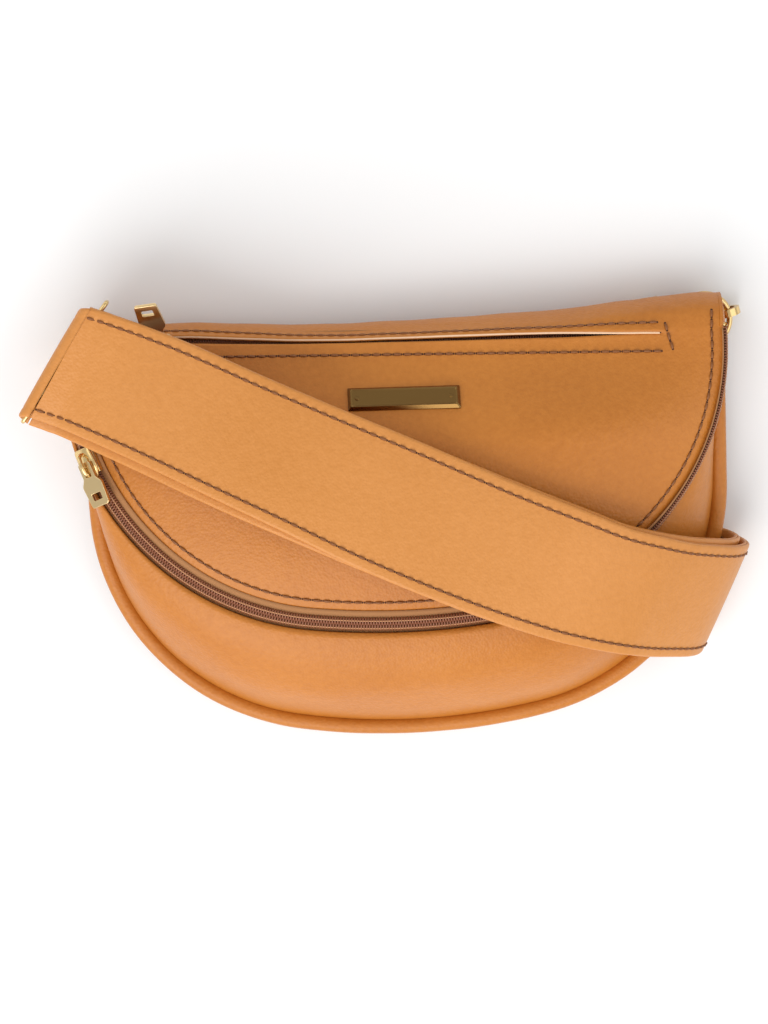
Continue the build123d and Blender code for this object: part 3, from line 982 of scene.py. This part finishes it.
def slide_frame():
    """Bent gold wire frame held in the strap's left fold."""
    line = []
    for v, z in rounded([(-28.0, 35.9), (28.0, 35.9), (28.0, 40.9), (-28.0, 40.9)], 1.6, 6):
        line.append(from_band(-148.2 + 0.26 * v, v + 2.8, z))
    shape = Shape()
    shape.tube(line + line[:2], 0.9, 10)
    obj = shape.object("slide_frame_wire", GOLD)
    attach(obj, "strap_frame")
    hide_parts("strap_slide_frame")


def strap():
    """The doubled strap: one long line from the left fold round to each end under the bag."""
    inner = [over_run(u, z, 0, 1) for u, z in TOP_LINE]
    turn = ((126.2, 4.2, 28), (131, 4.6, 19.2), (131.4, 4.2, 12), (128, 3.2, 6.9), (119, 2, 4.8))
    inner += [under_run(*q) for q in turn]
    inner += [under_run(u, 0, 4.8) for u in (90, 60, 30, 6, 0)]
    nodes = ("strap_front_inner", "strap_side_inner", "strap_under_inner")
    strap_run("inner_strap", band_line(inner, 200), nodes)
    outer = [over_run(u, z, 1, 0) for u, z in TOP_LINE[:-1]]
    turn = (
        (119.0, 2.2, 39.8), (129.4, 3.0, 30), (135.3, 3.6, 20.4), (136.2, 3.2, 11.8),
        (132.8, 2.4, 4.9), (127, 1.4, 1.9), (118, 0.8, 1.55),
    )
    outer += [under_run(*q) for q in turn]
    taper = ((90, 25), (60, 25), (20, 25), (-30, 25), (-77, 25), (-95, 18.5), (-111, 12.2))
    outer += [under_run(u, 0, 1.55, half) for u, half in taper]
    nodes = ("strap_front_outer", "strap_side_outer", "strap_under_outer")
    strap_run("outer_strap", band_line(outer, 240), nodes)
    fold = []
    first, last = outer[0], inner[0]
    mid, r = (first[2] + last[2]) / 2, (first[2] - last[2]) / 2
    along = from_band(1, 0, 0) - from_band(0, 0, 0)
    flat = from_band(0, 1, 0) - from_band(0, 0, 0)
    for i in range(19):
        a = math.pi / 2 + math.pi * i / 18.0
        v = mix(first[1], last[1], i / 18.0)
        c = from_band(first[0] + r * 1.2 * math.cos(a), v, mid + r * math.sin(a))
        out = (along * math.cos(a) + Vector((0, 0, math.sin(a)))).normalized()
        fold.append((c, (flat + along * SKEW[0][1]) * (first[5] / STRAP_HALF), out))
    strap_run("left_fold", fold, ("strap_left_fold",), seams=False)


# ---- build -----------------------------------------------------------------------------
front_panel()
front_stitches()
gusset()
back_leather()
piping()
main_zip()
pocket_zip()
sliders()
name_plate()
slide_frame()
strap()


def paint(material, *names):
    for name in names:
        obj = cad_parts[name]
        obj.data.materials.clear()
        obj.data.materials.append(material)


paint(BODY, "d_ring_tab_left", "d_ring_tab_right")
paint(BOARD, "back_board")
paint(principled("cord", (0.8, 0.77, 0.7), 0.8)[0], "piping_core")
paint(LINING, "lining", "pocket_pouch")
paint(GOLD, "name_plate_washers")
paint(STRAP, "strap_under_fold", "strap_return", "strap_end_left", "strap_end_right")
for corner in ("left", "right"):
    paint(GOLD, "d_ring_" + corner, "clasp_hook_" + corner, "clasp_gate_" + corner, "clasp_eye_" + corner)


# ---- floor, light and camera ----------------------------------------------------------
def studio():
    bpy.ops.mesh.primitive_plane_add(size=40)
    floor = bpy.context.object
    floor.name = "floor"
    mat = principled("floor", (0.9, 0.9, 0.9), 0.8)[0]
    floor.data.materials.append(mat)
    world = bpy.context.scene.world or bpy.data.worlds.new("world")
    bpy.context.scene.world = world
    world.use_nodes = True
    world.node_tree.nodes["Background"].inputs["Color"].default_value = (1, 1, 1, 1)
    world.node_tree.nodes["Background"].inputs["Strength"].default_value = 0.62
    lamps = (
        ("key", 27, 1.7, (-0.6, -1.1, 1.35)),
        ("fill", 7, 1.6, (1.2, -0.1, 1.3)),
        ("back", 4, 1.2, (-1.3, 1.0, 1.1)),
    )
    for name, power, size, spot in lamps:
        data = bpy.data.lights.new(name, "AREA")
        data.energy = power
        data.size = size
        lamp = bpy.data.objects.new(name, data)
        lamp.location = spot
        lamp.rotation_euler = (-Vector(spot)).to_track_quat("-Z", "Y").to_euler()
        bpy.context.scene.collection.objects.link(lamp)
    bpy.context.scene.view_settings.view_transform = "Standard"


def camera():
    """Looks down on the bag from its top side, turned a little."""
    lean, turn, away = math.radians(14.5), math.radians(-3.2), 0.9
    seen_height = 0.4096
    target = Vector((-0.0103, 0.0, 0.035))
    back = Vector((0, math.sin(lean), math.cos(lean)))
    flat_up = Vector((0, math.cos(lean), -math.sin(lean)))
    right = Vector((1, 0, 0)) * math.cos(turn) + flat_up * math.sin(turn)
    up = back.cross(right)
    data = bpy.data.cameras.new("camera")
    data.sensor_fit = "VERTICAL"
    data.sensor_height = 36
    data.lens = data.sensor_height * away / seen_height
    cam = bpy.data.objects.new("camera", data)
    spot = target + back * away
    cam.matrix_world = Matrix.Translation(spot) @ Matrix((right, up, back)).transposed().to_4x4()
    bpy.context.scene.collection.objects.link(cam)
    bpy.context.scene.camera = cam


studio()
camera()
